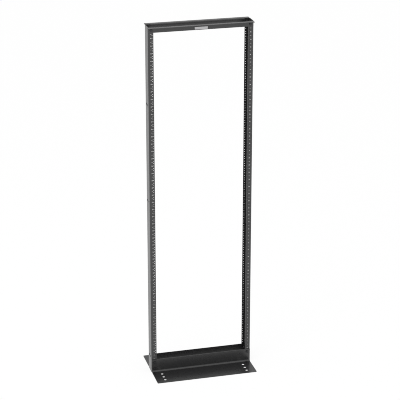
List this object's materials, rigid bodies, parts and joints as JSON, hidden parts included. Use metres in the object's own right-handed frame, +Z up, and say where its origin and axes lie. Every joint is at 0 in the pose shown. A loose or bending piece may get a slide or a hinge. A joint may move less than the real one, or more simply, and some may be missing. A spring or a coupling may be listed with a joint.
{
  "type": "two post open frame rack",
  "caption": "Open frame rack: two upright channel posts with rows of equipment holes, joined by bolted base angles and top angles.",
  "frame": {"origin": "on the floor, at the centre of the rack", "axes": "+X across the rack to the right seen from the front, the front faces -Y, +Z up"},
  "size_m": [0.616, 0.3874, 2.1326],
  "materials": {
    "coated_steel": "semi-gloss black powder coat with a fine grain",
    "fasteners": "black oxide steel",
    "plate": "bare satin metal plate with a dark border"
  },
  "bodies": {
    "root": {"post_left": "coated_steel", "post_right": "coated_steel", "base_angle_front": "coated_steel", "base_angle_rear": "coated_steel", "top_angle_front": "coated_steel", "top_angle_rear": "coated_steel", "name_plate": "plate", "base_bolt_front_left_low": "fasteners", "base_bolt_front_left_high": "fasteners", "base_bolt_front_right_low": "fasteners", "base_bolt_front_right_high": "fasteners", "base_bolt_rear_left_low": "fasteners", "base_bolt_rear_left_high": "fasteners", "base_bolt_rear_right_low": "fasteners", "base_bolt_rear_right_high": "fasteners", "base_nut_front_left_low": "fasteners", "base_nut_front_left_high": "fasteners", "base_nut_front_right_low": "fasteners", "base_nut_front_right_high": "fasteners", "base_nut_rear_left_low": "fasteners", "base_nut_rear_left_high": "fasteners", "base_nut_rear_right_low": "fasteners", "base_nut_rear_right_high": "fasteners", "top_bolt_front_left": "fasteners", "top_bolt_front_right": "fasteners", "top_bolt_rear_left": "fasteners", "top_bolt_rear_right": "fasteners", "top_nut_front_left": "fasteners", "top_nut_front_right": "fasteners", "top_nut_rear_left": "fasteners", "top_nut_rear_right": "fasteners"}
  },
  "joints": []
}
